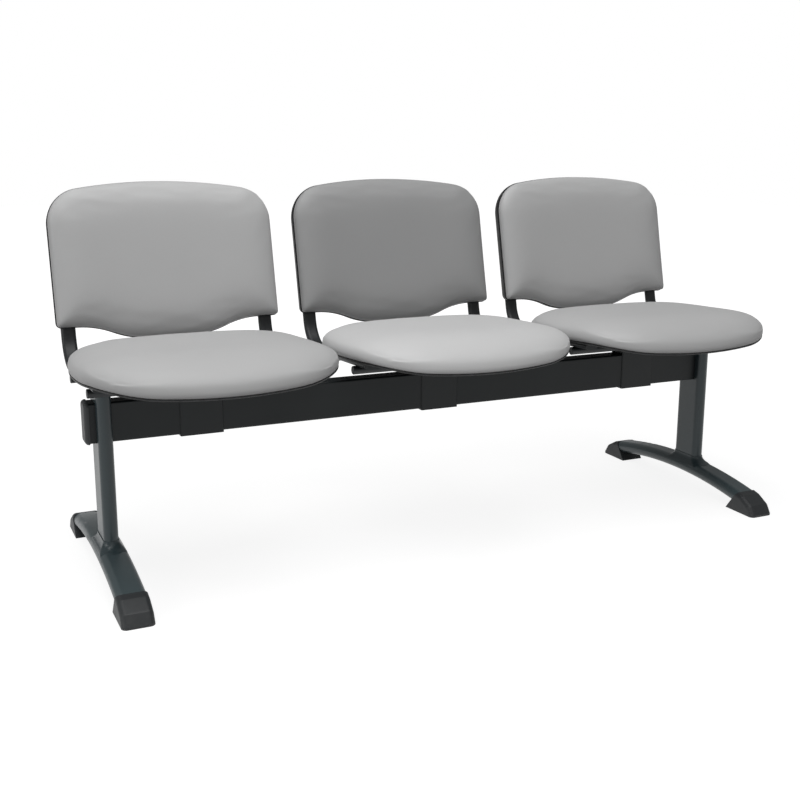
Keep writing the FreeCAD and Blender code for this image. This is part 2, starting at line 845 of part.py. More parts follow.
# Cap on one end of the beam: a domed flange outside and a hollow spigot inside the tube. It is
# built about X = 0 as a right-hand cap, turned over for the left end, and moved out.
def beam_end_cap(side):
    middle_z = beam_bottom_z + beam_height / 2
    over = 2 * beam_cap_overlap
    flange = rounded_bar(
        beam_depth + over, beam_height + over, beam_cap_corner, 0, beam_cap_thickness, beam_y, middle_z,
    )
    outer = [e for e in flange.Edges if e.BoundBox.XMin > beam_cap_thickness - 0.01]
    flange = flange.makeFillet(beam_cap_round, outer)
    tight = 2 * beam_wall + 2 * plug_clearance
    spigot = rounded_bar(
        beam_depth - tight, beam_height - tight, beam_corner_radius - beam_wall,
        0, -beam_plug_length, beam_y, middle_z,
    )
    core = tight + 2 * beam_plug_wall
    bore = rounded_bar(
        beam_depth - core, beam_height - core, beam_corner_radius - beam_wall,
        0, -beam_plug_length - 1, beam_y, middle_z,
    )
    cap = flange.fuse(spigot.cut(bore)).removeSplitter()
    if side < 0:
        cap = cap.mirror(V(0, 0, 0), V(1, 0, 0))
        end = beam_left_end
    else:
        end = beam_right_end
    return cap.translated(V(end, 0, 0))


def arch_bar(width, thickness, half_length):
    angle = degrees(half_length / arch_radius)
    centre = V(0, 0, arch_apex_z - arch_radius)
    face = flat_oval(width, thickness, V(0, 0, arch_apex_z), V(1, 0, 0), V(0, 0, 1))
    face.rotate(centre, V(1, 0, 0), -angle)
    return face.revolve(centre, V(1, 0, 0), 2 * angle)


def foot_arch(side):
    bar = arch_bar(arch_width, arch_thickness, arch_half_length)
    bore = arch_bar(arch_width - 2 * arch_wall, arch_thickness - 2 * arch_wall, arch_half_length + 2)
    tube = bar.cut(bore)
    tube.translate(V(side * leg_x, 0, 0))
    return tube


def upright_face(grow, z):
    width = upright_depth + 2 * grow
    return flat_oval(width, upright_width + 2 * grow, V(0, upright_y, z), V(0, 1, 0), V(1, 0, 0))


def leg_upright(side):
    low = collar_sections[-1][0]
    height = upright_top_z - low
    tube = upright_face(0, low).extrude(V(0, 0, height))
    tube = tube.cut(upright_face(-upright_wall, low - 1).extrude(V(0, 0, height + 2)))
    tube = tube.cut(arch_bar(arch_width, arch_thickness, arch_half_length))
    window = box_between(
        (-upright_width, beam_front_y - window_clearance, beam_bottom_z - window_clearance),
        (upright_width, beam_rear_y + window_clearance, beam_top_z + window_clearance),
    )
    tube = tube.cut(window)
    tube.translate(V(side * leg_x, 0, 0))
    return tube.cut(leg_screw_holes())


def upright_plugs():
    plugs = []
    for side in (-1, 1):
        head = upright_face(0, upright_top_z).extrude(V(0, 0, upright_plug_head))
        top = [e for e in head.Edges if e.BoundBox.ZMin > upright_top_z + upright_plug_head / 2]
        head = head.makeFillet(upright_plug_head * 0.6, top)
        stem = upright_face(-upright_wall - plug_clearance, upright_top_z - upright_plug_length)
        plug = head.fuse(stem.extrude(V(0, 0, upright_plug_length))).removeSplitter()
        plug.translate(V(side * leg_x, 0, 0))
        plugs.append(plug)
    return group(plugs)


# A section of the collar: how far it stands out past the upright's ends and past its sides.
def collar_wire(z, past_ends, past_sides):
    width = upright_depth + 2 * past_ends
    thickness = upright_width + 2 * past_sides
    return flat_oval(width, thickness, V(0, upright_y, z), V(0, 1, 0), V(1, 0, 0)).OuterWire


# A pressed ring that flares from the upright onto the top of the arch.
def upright_collar(side):
    wires = [collar_wire(*section) for section in reversed(collar_sections)]
    ring = Part.makeLoft(wires, True, False, False, pad_loft_degree)
    top_z = collar_sections[0][0]
    low_z = collar_sections[-1][0]
    bore = upright_face(plug_clearance, low_z - 1).extrude(V(0, 0, top_z - low_z + 2))
    ring = ring.cut(bore)
    ring = ring.cut(arch_bar(arch_width, arch_thickness, arch_half_length))
    ring.translate(V(side * leg_x, 0, 0))
    return ring


# A moulded shoe: it wraps the cut end of the arch, stands on the floor and grips inside the tube.
def foot_cap(side, end):
    profile = [
        (cap_floor_start, 0.0), (cap_top_start, cap_top_z), (cap_shoulder_y, cap_shoulder_z),
        (cap_nose_y, cap_nose_z), (foot_half_length, cap_toe_z), (foot_half_length, 0.0),
    ]
    body = polygon_prism(profile, -cap_width / 2, cap_width, "x")
    ridges = [e for e in body.Edges if e.BoundBox.XLength > 1 and cap_toe_z < e.BoundBox.ZMin < cap_top_z - 1]
    body = body.makeFillet(cap_profile_round, ridges)
    sides = [e for e in body.Edges if e.BoundBox.XLength < 0.01]
    rounded = [e for e in sides if e.BoundBox.ZMin > 0 or e.BoundBox.YMin > foot_half_length - 1]
    body = body.makeFillet(cap_edge_round, rounded)
    clear = 2 * plug_clearance
    body = body.cut(arch_bar(arch_width + clear, arch_thickness + clear, arch_half_length))
    tight = 2 * arch_wall + clear
    tongue = arch_bar(arch_width - tight, arch_thickness - tight, arch_half_length + 1)
    short = arch_bar(arch_width, arch_thickness, arch_half_length - cap_tongue_length)
    tongue = tongue.cut(short)
    tongue = tongue.common(box_between((-cap_width, 0, 0), (cap_width, foot_half_length, 2 * cap_top_z)))
    cap = body.fuse(tongue).removeSplitter()
    if end > 0:
        placed = cap
    else:
        placed = cap.mirror(V(0, 0, 0), V(0, 1, 0))
    placed.translate(V(side * leg_x, 0, 0))
    return placed


# The pieces of one place on the bench, built once about X = 0.
def place_pieces():
    return {
        "seat_cushion": place_seat(seat_cushion(), 0),
        "seat_board": place_seat(seat_board(), 0),
        "seat_shell": place_seat(seat_shell(), 0),
        "back_cushion": place_back(back_cushion(), 0),
        "back_board": place_back(back_board(), 0),
        "back_shell": place_back(back_shell(), 0),
        "back_arm_left": back_arm(-1),
        "back_arm_right": back_arm(1),
        "cross_tube_front": place_seat(cross_tube(cross_tube_front), 0),
        "cross_tube_rear": place_seat(cross_tube(cross_tube_rear), 0),
        "tube_plugs": place_seat(tube_plugs(), 0),
        "carrier_plate": place_seat(carrier_plate(), 0),
        "clamp_strap": clamp_strap(),
    }


for name, piece in place_pieces().items():
    for number, x in enumerate(seat_places, start=1):
        save(piece.translated(V(x, 0, 0)), name + "_" + str(number))

save(seat_screws(), "seat_screws")
save(back_screws(), "back_screws")
save(clamp_bolts(), "clamp_bolts")
save(clamp_nuts(), "clamp_nuts")
save(saddle_blocks(), "saddle_blocks")
save(beam(), "beam")
save(leg_screws(), "leg_screws")
save(upright_plugs(), "upright_plugs")
for side, hand in ((-1, "left"), (1, "right")):
    save(beam_end_cap(side), "beam_end_cap_" + hand)
    save(leg_upright(side), "leg_upright_" + hand)
    save(upright_collar(side), "upright_collar_" + hand)
    save(foot_arch(side), "foot_arch_" + hand)
    save(foot_cap(side, -1), "foot_cap_front_" + hand)
    save(foot_cap(side, 1), "foot_cap_rear_" + hand)
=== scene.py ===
from math import radians

import bpy
import numpy as np
from mathutils import Matrix, Vector


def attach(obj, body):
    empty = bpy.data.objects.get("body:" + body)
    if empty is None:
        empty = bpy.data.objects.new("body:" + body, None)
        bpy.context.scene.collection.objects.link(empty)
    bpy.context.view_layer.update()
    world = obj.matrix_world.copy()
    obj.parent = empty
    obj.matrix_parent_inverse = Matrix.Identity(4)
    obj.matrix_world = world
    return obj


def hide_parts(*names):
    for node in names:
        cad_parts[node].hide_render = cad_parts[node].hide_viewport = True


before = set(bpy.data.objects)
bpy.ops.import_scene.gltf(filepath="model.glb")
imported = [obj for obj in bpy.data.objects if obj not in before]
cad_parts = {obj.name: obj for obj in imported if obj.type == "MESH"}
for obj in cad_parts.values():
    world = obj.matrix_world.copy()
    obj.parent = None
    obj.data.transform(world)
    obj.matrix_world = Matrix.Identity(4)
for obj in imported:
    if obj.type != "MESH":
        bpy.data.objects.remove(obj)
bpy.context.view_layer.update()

# Camera: the bench seen from its front left corner, from a little above its backs.
# The lens is a short telephoto, and the small shift places the bench as in the photograph.
camera_place = (-1.0731, -2.2216, 0.8772)
camera_heading = -26.5
camera_dip = 12.78
camera_roll = 0.64
camera_lens = 50.73
camera_shift = (-0.0547, -0.0178)

camera = bpy.data.objects.new("camera", bpy.data.cameras.new("camera"))
camera.data.sensor_width = 36
camera.data.lens = camera_lens
camera.data.shift_x, camera.data.shift_y = camera_shift
heading = Matrix.Rotation(radians(camera_heading), 4, "Z")
dip = Matrix.Rotation(radians(90 - camera_dip), 4, "X")
roll = Matrix.Rotation(radians(camera_roll), 4, "Z")
camera.matrix_world = Matrix.Translation(camera_place) @ heading @ dip @ roll
bpy.context.scene.collection.objects.link(camera)
bpy.context.scene.camera = camera


# Feet: bent flat-oval steel tube under each leg, powder coated dark blue-green.
# The coat has a fine orange-peel skin and a faint clouding, and is scuffed near the floor.
class Wire:
    """A node socket that works in sums. Each operator adds the Math node that works it out."""

    def __init__(self, finish, socket):
        self.finish = finish
        self.socket = socket

    def __add__(self, other):
        return self.finish.math("ADD", self, other)

    def __sub__(self, other):
        return self.finish.math("SUBTRACT", self, other)

    def __rsub__(self, other):
        return self.finish.math("SUBTRACT", other, self)

    def __mul__(self, other):
        return self.finish.math("MULTIPLY", self, other)

    __radd__ = __add__
    __rmul__ = __mul__


class Finish:
    """A material under construction, with one method that adds any shader node to it."""

    def __init__(self, name, colour, roughness):
        self.material = bpy.data.materials.new(name)
        self.material.use_nodes = True
        self.tree = self.material.node_tree
        self.shader = self.tree.nodes["Principled BSDF"]
        self.shader.inputs["Base Color"].default_value = (*colour, 1)
        self.shader.inputs["Roughness"].default_value = roughness
        self.place = self.node("TexCoord", output="Object")

    def node(self, kind, inputs=None, output=0, **settings):
        made = self.tree.nodes.new("ShaderNode" + kind)
        for name, value in settings.items():
            setattr(made, name, value)
        for name, value in (inputs or {}).items():
            if isinstance(value, Wire):
                self.tree.links.new(value.socket, made.inputs[name])
            else:
                made.inputs[name].default_value = value
        return Wire(self, made.outputs[output])

    def math(self, operation, first, second):
        return self.node("Math", {0: first, 1: second}, operation=operation)

    def noise(self, scale, detail=2.0, place=None):
        """Smooth random values around one half, with this many features to the metre."""
        inputs = {"Vector": place or self.place, "Scale": scale, "Detail": detail}
        return self.node("TexNoise", inputs, output="Fac")

    def cells(self, scale, feature="F1", place=None):
        """Distance to the nearest of many scattered points, in cells of one over this scale."""
        inputs = {"Vector": place or self.place, "Scale": scale}
        return self.node("TexVoronoi", inputs, output="Distance", feature=feature)

    def ramp(self, value, low, high):
        """Zero below low, one above high, and a straight line between them."""
        inputs = {"Value": value, "From Min": low, "From Max": high}
        return self.node("MapRange", inputs, clamp=True)

    def blend(self, share, first, second):
        """The first colour where share is zero, and the second where it is one."""
        inputs = {"Factor": share, 6: self.rgba(first), 7: self.rgba(second)}
        return self.node("Mix", inputs, output=2, data_type="RGBA")

    def rgba(self, colour):
        return colour if isinstance(colour, Wire) else (*colour, 1)

    def feed(self, name, value):
        self.tree.links.new(value.socket, self.shader.inputs[name])

    def relief(self, height, depth):
        """Bumps of this height pattern, depth metres from its zero to its one."""
        inputs = {"Height": height, "Distance": depth, "Strength": 1.0}
        self.feed("Normal", self.node("Bump", inputs))


def dress(node, finish):
    """Gives a CAD node this finish in all its material slots."""
    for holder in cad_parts[node].material_slots:
        holder.material = finish.material


def powder_coat(name, colour, worn, roughness, scuff_top):
    """Powder coat: clouded tint, orange-peel skin, and pale scuffs below a height above the floor."""
    coat = Finish(name, colour, roughness)
    clouds = coat.noise(9.0, 3.0)
    peel = coat.noise(620.0, 1.0)
    speck = coat.noise(2400.0, 0.0)
    height = coat.node("SeparateXYZ", {0: coat.place}, output=2)
    low = 1 - coat.ramp(height, 0.3 * scuff_top, scuff_top)
    streaks = coat.noise(45.0, 6.0)
    scuffs = coat.ramp(streaks, 0.60, 0.74) * low
    tint = coat.blend(clouds, [0.82 * c for c in colour], [1.2 * c for c in colour])
    coat.feed("Base Color", coat.blend(scuffs * 0.5, tint, worn))
    coat.feed("Roughness", roughness - 0.05 + 0.1 * clouds + 0.15 * scuffs)
    coat.relief(0.75 * peel + 0.25 * speck, 0.00009)
    return coat


# The feet's coat is painted paler than the same coat on the uprights and beam, as painted light on the feet.
arch_lit_colour = (0.052, 0.073, 0.079)
worn_colour = (0.080, 0.095, 0.098)
arch_coat = powder_coat("arch_powder_coat", arch_lit_colour, worn_colour, 0.34, 0.12)
for hand in ("left", "right"):
    dress("foot_arch_" + hand, arch_coat)


# Shoes: black moulded plastic, one on each end of the arches, with a fine spark-eroded grain.
# Their edges are dulled to grey where they meet the floor and brooms.
def moulded_plastic(name, colour, worn, grain, roughness, worn_top):
    """Moulded plastic: pebbled grain this many cells to the metre, greyed close to the floor."""
    plastic = Finish(name, colour, roughness)
    pebbles = plastic.cells(grain, "SMOOTH_F1")
    mottle = plastic.noise(30.0, 3.0)
    height = plastic.node("SeparateXYZ", {0: plastic.place}, output=2)
    low = 1 - plastic.ramp(height, 0.0, worn_top)
    rubbed = plastic.ramp(plastic.noise(70.0, 5.0), 0.45, 0.7) * low
    tint = plastic.blend(mottle, [0.85 * c for c in colour], [1.2 * c for c in colour])
    plastic.feed("Base Color", plastic.blend(rubbed * 0.6, tint, worn))
    plastic.feed("Roughness", roughness - 0.06 + 0.12 * mottle)
    plastic.relief(pebbles, 0.00012)
    return plastic


plastic_colour = (0.023, 0.026, 0.028)
plastic_worn = (0.05, 0.05, 0.05)
cap_plastic = moulded_plastic("cap_plastic", plastic_colour, plastic_worn, 900.0, 0.52, 0.03)
for hand in ("left", "right"):
    for end in ("front", "rear"):
        dress("foot_cap_" + end + "_" + hand, cap_plastic)


# Uprights: flat-oval steel columns in the feet's coat, with push-in plugs; the coat's tone on them is set
# darker than on the feet, as painted light and shade.
# A pressed ring covers the weld at the foot, and two zinc screws from the rear hold the beam.
def zinc_plate(name):
    """Bright zinc: pale blue-grey metal with fine drawn lines and a little bloom."""
    zinc = Finish(name, (0.56, 0.57, 0.58), 0.34)
    zinc.shader.inputs["Metallic"].default_value = 1.0
    stretched = zinc.node("Mapping", {"Vector": zinc.place, "Scale": (1.0, 6.0, 1.0)})
    drawn = zinc.noise(700.0, 2.0, stretched)
    bloom = zinc.noise(160.0, 3.0)
    zinc.feed("Base Color", zinc.blend(bloom, (0.50, 0.51, 0.53), (0.62, 0.63, 0.63)))
    zinc.feed("Roughness", 0.26 + 0.16 * bloom)
    zinc.relief(drawn, 0.00003)
    return zinc


leg_colour = (0.031, 0.048, 0.054)
leg_coat = powder_coat("leg_powder_coat", leg_colour, worn_colour, 0.34, 0.12)
zinc = zinc_plate("zinc_plate")
for hand in ("left", "right"):
    dress("leg_upright_" + hand, leg_coat)
    dress("upright_collar_" + hand, leg_coat)
dress("upright_plugs", cap_plastic)
dress("leg_screws", zinc)


# Beam: one rectangular steel tube through both uprights, in the same coat, painted much darker as painted
# shade under the seats.
# Each end is closed by a moulded cap with a domed face.
beam_shaded_colour = (0.007, 0.010, 0.011)
dull_reflection = 0.33
beam_coat = powder_coat("beam_powder_coat", beam_shaded_colour, worn_colour, 0.45, 0.12)
beam_coat.shader.inputs["Specular IOR Level"].default_value = dull_reflection
dress("beam", beam_coat)
for hand in ("left", "right"):
    dress("beam_end_cap_" + hand, cap_plastic)


# Clamps: a bent steel strap round the beam under each seat, bolted up to a carrier plate.
# A moulded wedge between beam and plate sets the tilt of the seat.
clamp_colour = (0.008, 0.011, 0.012)
clamp_coat = powder_coat("clamp_powder_coat", clamp_colour, worn_colour, 0.42, 0.02)
clamp_coat.shader.inputs["Specular IOR Level"].default_value = dull_reflection
places = {1: -0.530, 2: 0.0, 3: 0.530}
for number in places:
    dress("clamp_strap_" + str(number), clamp_coat)
    dress("carrier_plate_" + str(number), clamp_coat)
dress("saddle_blocks", cap_plastic)
oxide_colour = (0.012, 0.013, 0.014)
black_oxide = powder_coat("black_oxide", oxide_colour, worn_colour, 0.45, 0.02)
dress("clamp_bolts", black_oxide)
dress("clamp_nuts", black_oxide)


# Seat frame: two round cross tubes and two flat-oval arms that bend up into the back.
# They are coated satin black, and their open ends are plugged.
arm_colour = (0.010, 0.012, 0.014)
arm_worn = (0.05, 0.055, 0.055)
arm_coat = powder_coat("arm_powder_coat", arm_colour, arm_worn, 0.48, 0.02)
for number in places:
    for piece in ("cross_tube_front", "cross_tube_rear", "back_arm_left", "back_arm_right"):
        dress(piece + "_" + str(number), arm_coat)
    dress("tube_plugs_" + str(number), cap_plastic)
dress("seat_screws", zinc)
dress("back_screws", zinc)


# Shells and boards of seats and backs: a black moulded tray with a bent plywood board in it.
# Only the tray's rim and outside show. The board's long grain runs across the bench.
def plywood(name):
    """Plywood: long wavy grain along X, with fine pores."""
    wood = Finish(name, (0.5, 0.36, 0.2), 0.6)
    stretched = wood.node("Mapping", {"Vector": wood.place, "Scale": (1.0, 14.0, 14.0)})
    grain = wood.noise(9.0, 5.0, stretched)
    pores = wood.noise(160.0, 2.0, stretched)
    wood.feed("Base Color", wood.blend(grain, (0.38, 0.25, 0.13), (0.62, 0.47, 0.28)))
    wood.feed("Roughness", 0.5 + 0.2 * grain)
    wood.relief(pores, 0.0001)
    return wood


shell_colour = (0.012, 0.012, 0.013)
shell_plastic = moulded_plastic("shell_plastic", shell_colour, plastic_worn, 700.0, 0.5, 0.0)
shell_plastic.shader.inputs["Specular IOR Level"].default_value = dull_reflection
board_wood = plywood("board_plywood")
for number in places:
    dress("seat_shell_" + str(number), shell_plastic)
    dress("back_shell_" + str(number), shell_plastic)
    dress("seat_board_" + str(number), board_wood)
    dress("back_board_" + str(number), board_wood)


# Seat cushions: a moulded foam block on each board under a tight cover of smooth imitation leather.
# The cover is drawn down over a rolled edge and tucked in above the tray, with a low front.
seat_tilt = radians(3.4)
seat_plane = 0.4105
seat_half_width = 0.250
seat_front, seat_middle, seat_rear = -0.303, -0.090, 0.142
seat_radii = {"side": 0.800, "front": 0.650, "rear": 0.900, "front_corner": 0.150, "rear_corner": 0.115}
seat_fall_start, seat_fall_radius = -0.170, 0.346
seat_lip = 0.0049
seat_board_top = 0.0134
seat_crown = 0.0480
seat_rise_start, seat_rear_rise = -0.100, 0.010
seat_edge_reach = 0.140
seat_tuck, seat_draw_in = 0.0030, 0.0003
pad_cells = 44
foam_pressure, cover_swell_cap = 2.0, 0.0012


def touching_centre(first, first_radius, second, second_radius, radius):
    """Centre of a circle inside two larger ones and touching both: where the two circles about
    the same centres, each smaller by its radius, cross. The crossing further to the right is kept."""
    gap = np.subtract(second, first)
    reach = np.hypot(*gap)
    a, b = first_radius - radius, second_radius - radius
    along = (a * a - b * b + reach * reach) / (2 * reach)
    aside = np.sqrt(a * a - along * along)
    middle = np.add(first, gap * along / reach)
    across = np.array([-gap[1], gap[0]]) / reach * aside
    return max(middle + across, middle - across, key=lambda p: p[0])


def arc_points(centre, radius, start, end, outwards=1):
    """Points on an arc from one angle to another with the normals that point out of the outline."""
    angle = np.linspace(start, end, 400)
    spoke = np.stack([np.cos(angle), np.sin(angle)], 1)
    return np.hstack([centre + radius * spoke, outwards * spoke])


def mirrored(right):
    """A half outline from the middle round the right, joined to its own mirror image."""
    left = right[::-1] * np.array([-1, 1, -1, 1])
    return np.vstack([right, left])


def seat_outline():
    """Five arcs that touch: front, front corner, side, rear corner and rear, mirrored."""
    side = np.array([seat_half_width - seat_radii["side"], seat_middle])
    front = np.array([0, seat_front + seat_radii["front"]])
    rear = np.array([0, seat_rear - seat_radii["rear"]])
    size = seat_radii
    front_corner = touching_centre(side, size["side"], front, size["front"], size["front_corner"])
    rear_corner = touching_centre(side, size["side"], rear, size["rear"], size["rear_corner"])
    turn = [np.arctan2(*(corner - centre)[::-1]) for corner, centre in
            ((front_corner, front), (front_corner, side), (rear_corner, side), (rear_corner, rear))]
    return mirrored(np.vstack([
        arc_points(front, size["front"], -np.pi / 2, turn[0]),
        arc_points(front_corner, size["front_corner"], turn[0], turn[1]),
        arc_points(side, size["side"], turn[1], turn[2]),
        arc_points(rear_corner, size["rear_corner"], turn[2], turn[3]),
        arc_points(rear, size["rear"], turn[3], np.pi / 2),
    ]))


def four_sides(outline, cells):
    """Even points along the four sides between the outline's corners, which are its furthest
    points along the diagonals, as rows of x, y and the outward normal."""
    corners = [np.argmax(outline[:, :2] @ d) for d in ((-1, -1), (1, -1), (1, 1), (-1, 1))]
    turned = np.roll(outline, -corners[0], axis=0)
    ends = [(c - corners[0]) % len(outline) for c in corners] + [len(outline)]
    turned = np.vstack([turned, turned[:1]])
    step = np.hypot(*np.diff(turned[:, :2], axis=0).T)
    run = np.concatenate([[0], np.cumsum(step)])
    share = np.linspace(0, 1, cells + 1)
    share = 0.35 * share + 0.65 * (0.5 - 0.5 * np.cos(np.pi * share))
    sides = []
    for start, end in zip(ends[:-1], ends[1:]):
        at = run[start] + (run[end] - run[start]) * share
        sides.append(np.stack([np.interp(at, run, column) for column in turned.T], 1))
    return sides


def inset_sides(sides, depth):
    """The four sides moved inwards along their normals."""
    return [np.hstack([side[:, :2] - depth * side[:, 2:], side[:, 2:]]) for side in sides]


def filled(sides):
    """A grid of points over the whole outline: the two straight blends between facing sides,
    added, less the blend of the four corners."""
    front, right, rear, left = (side[:, :2] for side in sides)
    rear, left = rear[::-1], left[::-1]
    count = len(front)
    share = np.linspace(0, 1, count)
    share = 0.35 * share + 0.65 * (0.5 - 0.5 * np.cos(np.pi * share))
    a = share[:, None, None]
    b = share[None, :, None]
    across = (1 - a) * left[None, :] + a * right[None, :]
    along = (1 - b) * front[:, None] + b * rear[:, None]
    corners = (1 - a) * ((1 - b) * front[0] + b * rear[0]) + a * ((1 - b) * front[-1] + b * rear[-1])
    return across + along - corners


def edge_distance(grid, sides):
    """Distance from the edge, with the distances from the four sides combined as the fourth root
    of their inverse fourth powers, so that level lines stay round near the corners."""
    points = grid.reshape(-1, 2)
    total = np.zeros(len(points))
    for side in sides:
        nearest = np.min(np.hypot(*(points[:, None] - side[None, :, :2]).transpose(2, 0, 1)), axis=1)
        total += np.maximum(nearest, 1e-5) ** -4.0
    return (total ** -0.25).reshape(grid.shape[:2])


def rolled_edge(distance, reach):
    """Share of the full height at a distance from the edge: steep at first, level at the reach."""
    rest = np.clip(1 - distance / reach, 0, 1)
    return np.sqrt(1 - rest ** 3)


def pad_surface(outline, cells, reach, base, under, board, crown, inset):
    """Grid of the top, rings of the rolled-under side, and grid of the underside, each as points
    x, y and height. The top rises from a fifth of the crown at the edge by the rolled edge."""
    sides = four_sides(outline, cells)
    rim = inset_sides(sides, inset)
    top = filled(rim)
    rise = base + crown * (0.2 + 0.8 * rolled_edge(edge_distance(top, rim), reach))
    top = np.dstack([top, rise])
    rings = []
    for turn in np.linspace(0, np.pi / 2, 6)[1:]:
        ring = np.vstack([side[:-1, :2] for side in inset_sides(sides, inset + under * (1 - np.cos(turn)))])
        rings.append(np.column_stack([ring, np.full(len(ring), base + 0.2 * crown * (1 - np.sin(turn)))]))
    for depth, height in ((inset + under + 0.0015, base), (inset + under + 0.0030, board)):
        ring = np.vstack([side[:-1, :2] for side in inset_sides(sides, depth)])
        rings.append(np.column_stack([ring, np.full(len(ring), height)]))
    floor = filled(inset_sides(sides, inset + under + 0.0045))
    floor = np.dstack([floor, np.full(floor.shape[:2], board)])
    return top, rings, floor


def edge_numbers(count):
    """Numbers of a square grid's edge points, once round from its first corner."""
    grid = np.arange(count * count).reshape(count, count)
    return np.concatenate([grid[:-1, 0], grid[-1, :-1], grid[:0:-1, -1], grid[0, :0:-1]])


def quads_between(lower, upper):
    """Quads that join two rings of the same number of points."""
    return np.stack([lower, upper, np.roll(upper, -1), np.roll(lower, -1)], 1)


def pad_faces(count, rings):
    """Quads over the top grid, down the rings and over the underside grid."""
    grid = np.arange(count * count).reshape(count, count)
    corner = grid[:-1, :-1], grid[1:, :-1], grid[1:, 1:], grid[:-1, 1:]
    face = np.stack([c.ravel() for c in corner], 1)
    edge = edge_numbers(count)
    hoops = [edge]
    hoops += [count * count + ring * len(edge) + np.arange(len(edge)) for ring in range(rings)]
    start = count * count + rings * len(edge)
    hoops.append(start + edge)
    walls = [quads_between(a, b) for a, b in zip(hoops[:-1], hoops[1:])]
    return np.vstack([face, *walls, start + face[:, ::-1]])


def mesh_piece(name, points, faces):
    """A smooth mesh object from arrays of points and faces, with its place in its mesh."""
    mesh = bpy.data.meshes.new(name)
    mesh.from_pydata(points.tolist(), [], faces.tolist())
    mesh.shade_smooth()
    piece = bpy.data.objects.new(name, mesh)
    bpy.context.scene.collection.objects.link(piece)
    return piece


def swelled(points, faces, held, pressure, cap):
    """The points after the foam has pushed the cover out: twenty steps of cloth under pressure,
    with the held points fixed and every move cut off at the cap."""
    trial = mesh_piece("trial_cover", points, faces)
    group = trial.vertex_groups.new(name="tucked")
    group.add(np.flatnonzero(held).tolist(), 1.0, "REPLACE")
    cloth = trial.modifiers.new("cover", "CLOTH")
    cloth.settings.quality = 6
    cloth.settings.mass = 0.25
    cloth.settings.tension_stiffness = 40
    cloth.settings.compression_stiffness = 40
    cloth.settings.shear_stiffness = 20
    cloth.settings.bending_stiffness = 60
    cloth.settings.use_pressure = True
    cloth.settings.uniform_pressure_force = pressure
    cloth.settings.vertex_group_mass = "tucked"
    cloth.settings.effector_weights.gravity = 0
    cloth.point_cache.frame_start = 1
    cloth.point_cache.frame_end = 20
    for step in range(1, 21):
        bpy.context.scene.frame_set(step)
    evaluated = trial.evaluated_get(bpy.context.evaluated_depsgraph_get())
    moved = np.zeros(len(points) * 3)
    evaluated.data.vertices.foreach_get("co", moved)
    move = moved.reshape(-1, 3) - points
    far = np.maximum(np.linalg.norm(move, axis=1, keepdims=True), 1e-9)
    bpy.data.objects.remove(trial)
    return points + move * np.minimum(1, cap / far)


def seat_to_room(points, x):
    """Seat points, across, back along the tilted seat plane and up from it, in the room. The
    plane falls on an arc at the front, and the top gains the square of the way to the rear."""
    across, back, up = points.T
    fall = np.maximum(0, seat_fall_start - back)
    rise = np.maximum(0, back - seat_rise_start) / (seat_rear - seat_rise_start)
    share = np.clip((up - seat_lip) / seat_crown, 0, 1)
    up = up + np.sqrt(seat_fall_radius ** 2 - fall ** 2) - seat_fall_radius
    up = up + share * seat_rear_rise * rise ** 2
    y = back * np.cos(seat_tilt) + up * np.sin(seat_tilt)
    z = seat_plane - back * np.sin(seat_tilt) + up * np.cos(seat_tilt)
    return np.stack([across + x, y, z], 1)


def imitation_leather(name, colour):
    """Imitation leather: soft pebbled grain a little over a millimetre across, broken by fine
    creases, with faint clouding of the colour and of the gloss."""
    hide = Finish(name, colour, 0.5)
    warp = hide.noise(180.0, 1.0)
    pebbles = hide.cells(800.0, "SMOOTH_F1")
    creases = hide.cells(260.0, "DISTANCE_TO_EDGE")
    clouds = hide.noise(5.0, 4.0)
    flecks = hide.noise(420.0, 2.0)
    shade = 0.6 * clouds + 0.4 * flecks
    hide.feed("Base Color", hide.blend(shade, [0.93 * c for c in colour], [1.06 * c for c in colour]))
    hide.feed("Roughness", 0.44 + 0.12 * clouds + 0.05 * flecks)
    crease_line = hide.ramp(creases, 0.0, 0.08)
    hide.relief(0.55 * pebbles + 0.3 * crease_line + 0.15 * warp, 0.00016)
    hide.shader.inputs["Sheen Weight"].default_value = 0.08
    hide.shader.inputs["Sheen Roughness"].default_value = 0.5
    return hide


# The seat covers are one grey, but each seat is painted its own: the paler middle seat is painted light, and
# the darker ends are painted shade.
seat_cover_lit_greys = {1: (0.420, 0.421, 0.422), 2: (0.530, 0.531, 0.532), 3: (0.435, 0.436, 0.437)}
top, rings, floor = pad_surface(
    seat_outline(), pad_cells, seat_edge_reach, seat_lip, seat_tuck, seat_board_top, seat_crown,
    seat_draw_in)
pad_points = np.vstack([top.reshape(-1, 3), *rings, floor.reshape(-1, 3)])
pad_quads = pad_faces(pad_cells + 1, len(rings))
tucked = np.arange(len(pad_points)) >= top.shape[0] * top.shape[1]
level = seat_to_room(pad_points, 0)
level = swelled(level, pad_quads, tucked, foam_pressure, cover_swell_cap)
for number, x in places.items():
    cushion = mesh_piece("seat_pad_" + str(number), level + np.array([x, 0, 0]), pad_quads)
    smoother = cushion.modifiers.new("smooth", "SUBSURF")
    smoother.levels = smoother.render_levels = 1
    finish = imitation_leather("seat_cover_" + str(number), seat_cover_lit_greys[number])
    cushion.data.materials.append(finish.material)
    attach(cushion, "root")
    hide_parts("seat_cushion_" + str(number))


# Back cushions: thinner foam on a hollow plywood board, in the same cover as the seats, with each back
# painted its own grey of light and shade.
# The top is arched, the sides are straight, and the lower edge dips between the arms. Each is drawn
# in a little from the edge, so that the dark rim of the shell behind it shows all round.
back_lean = radians(13.1)
back_foot = (0.177, 0.474)
back_half_width = 0.240
back_height = 0.304
back_flat_drop, back_flat_start = 0.0055, 0.195
back_dip, back_dip_half = 0.0355, 0.050
back_top_radius, back_top_corner, back_bottom_corner = 0.980, 0.082, 0.011
back_hollow = 0.018
back_rear = -0.0047
back_crown = 0.0367
back_edge_reach = 0.110
back_tuck, back_draw_in = 0.0025, 0.0034


